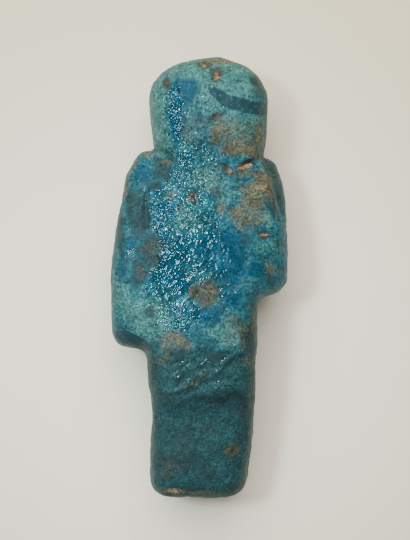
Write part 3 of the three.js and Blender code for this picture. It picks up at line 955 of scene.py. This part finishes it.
def glazed_faience():
    finish = Finish("faience_glaze")
    fleck = finish.noise(*FLECK)
    grain = finish.noise(GRAIN, 2.0, 0.6)
    ragged = finish.times(finish.minus(finish.noise(*RAGGED_EDGE), NOISE_MIDDLE), RAGGEDNESS)
    speckled = finish.times(finish.minus(grain, NOISE_MIDDLE), SPECKLE)
    edge = finish.plus(ragged, speckled)
    surface, shares = stained_glaze(finish, edge)

    # Painted light and shade on the dimples: the grain lightens their crests and darkens their hollows,
    # over the flecks' own tone.
    light = finish.times(finish.ramp(grain, *GRAIN_TONE_AND_DIMPLE_SHADE), finish.ramp(fleck, *FLECK_LIGHT))
    surface = finish.scale(surface, light)
    surface = finish.scale(surface, finish.ramp(finish.noise(*MOTTLE), *MOTTLE_LIGHT))
    # Painted shade: hollows and creases are darkened.
    hollow_shade = finish.step(finish.attribute("proud"), *HOLLOWS)
    surface = finish.mix(hollow_shade, surface, HOLLOW_SHADE)

    brushed = finish.plus(finish.attribute("paint"), finish.times(edge, PAINT_SPECKLE))
    worn = finish.step(fleck, *WEAR)
    painted = finish.times(finish.step(brushed, *BRUSH_EDGE), worn)
    surface = finish.mix(painted, surface, PAINT)

    patchy = finish.minus(finish.noise(*PATCH), NOISE_MIDDLE)
    gloss = finish.plus(finish.attribute("gloss"), finish.times(patchy, GLOSS_PATCHINESS))
    for kind in DULL_STAINS:
        gloss = finish.minus(gloss, finish.times(shares[kind], DULLING))
    gloss = finish.step(gloss, *GLOSS_EDGE)
    bumpiness = finish.ramp(gloss, 0.0, 1.0, MATT_BUMP, GLOSSY_BUMP)
    sockets = finish.shader.inputs
    finish.feed(sockets["Base Color"], surface)
    finish.feed(sockets["Roughness"], finish.ramp(gloss, 0.0, 1.0, MATT, GLOSSY))
    finish.feed(sockets["Normal"], finish.bump(dimples(finish), DIMPLE_DEPTH, bumpiness))
    sockets["IOR"].default_value = GLAZE_IOR
    sockets["Specular Tint"].default_value = GLINT
    return finish.material


skin.materials.clear()
skin.materials.append(glazed_faience())

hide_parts("ushabti_figure")
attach(figure, "root")

# ---- Floor ----

FLOOR_HALF = 2000.0
# A painted pool of light: the paper is coloured lightest here and darker from near to far around it, as
# painted shade.
PAINTED_LIGHT_POOL = (-6.0, 28.0)
PAINTED_POOL_NEAR = 15.0
PAINTED_POOL_FAR = 95.0
PAPER = colour(0.95, 0.87, 0.71)
PAPER_IN_PAINTED_SHADE = colour(0.66, 0.58, 0.40)
PAPER_CLOUD = colour(0.6, 0.58, 0.55)
PAPER_CLOUD_SIZE = 14.0
PAPER_CLOUD_EDGE = (0.3, 0.8, 0.06)
PAPER_ROUGHNESS = 0.9
PAPER_SPECULAR = 0.2


def paper():
    finish = Finish("paper")
    middle = (PAINTED_LIGHT_POOL[0], PAINTED_LIGHT_POOL[1] + low.y / MM, 0.0)
    inputs = {0: finish.layout, 1: middle}
    distance = finish.add("ShaderNodeVectorMath", inputs, operation="DISTANCE").outputs["Value"]
    # The painted pool of light, with painted shade further out.
    painted_shade_and_dark_patches = finish.mix(finish.step(distance, PAINTED_POOL_NEAR, PAINTED_POOL_FAR), PAPER, PAPER_IN_PAINTED_SHADE)
    cloud = finish.step(finish.noise(PAPER_CLOUD_SIZE, 3.0), *PAPER_CLOUD_EDGE)
    painted_shade_and_dark_patches = finish.mix(cloud, painted_shade_and_dark_patches, PAPER_CLOUD)
    finish.feed(finish.shader.inputs["Base Color"], painted_shade_and_dark_patches)
    finish.shader.inputs["Roughness"].default_value = PAPER_ROUGHNESS
    finish.shader.inputs["Specular IOR Level"].default_value = PAPER_SPECULAR
    return finish.material


def add_floor():
    mesh = bpy.data.meshes.new("paper")
    work = bmesh.new()
    bmesh.ops.create_grid(work, x_segments=1, y_segments=1, size=FLOOR_HALF * MM)
    work.to_mesh(mesh)
    work.free()
    floor = bpy.data.objects.new("paper", mesh)
    floor.location.z = low.z
    bpy.context.scene.collection.objects.link(floor)
    mesh.materials.append(paper())


add_floor()

# ---- Light ----


def add_light(name, direction, distance, half_angle, lit, tint):
    """A disk of light that fills that half-angle as the figure sees it, and lights the floor by `lit`."""
    way = Vector(direction).normalized()
    radius = distance * tan(radians(half_angle))
    data = bpy.data.lights.new(name, "AREA")
    data.shape = "DISK"
    data.size = 2 * radius * MM
    data.color = tint
    # A disk of power P and area A has the radiance P / (pi A).
    area = pi * (radius * MM) ** 2
    radiance = lit / (sin(radians(half_angle)) ** 2 * way.z)
    data.energy = radiance * pi * area
    light = bpy.data.objects.new(name, data)
    light.location = place(0, LENGTH / 2, 0) + way * distance * MM
    light.rotation_euler = (-way).to_track_quat("-Z", "Y").to_euler()
    bpy.context.scene.collection.objects.link(light)
    return light


LIGHT_DISTANCE = 500
DAYLIGHT = (1.0, 0.99, 0.96)
COOL = (0.75, 0.95, 1.0)
ROOM_STRENGTH = 0.5

# The window lights the glaze but isn't mirrored in it. Its sparkles are those of the small lamp.
window = add_light("window", (-0.10, 0.62, 0.78), LIGHT_DISTANCE, 32, 1.2, DAYLIGHT)
window.visible_glossy = False
add_light("lamp", (-0.42, 0.14, 0.90), LIGHT_DISTANCE, 5, 0.6, COOL)
world = bpy.data.worlds.new("room")
world.use_nodes = True
background = world.node_tree.nodes["Background"]
background.inputs["Color"].default_value = (*DAYLIGHT, 1)
background.inputs["Strength"].default_value = ROOM_STRENGTH
bpy.context.scene.world = world
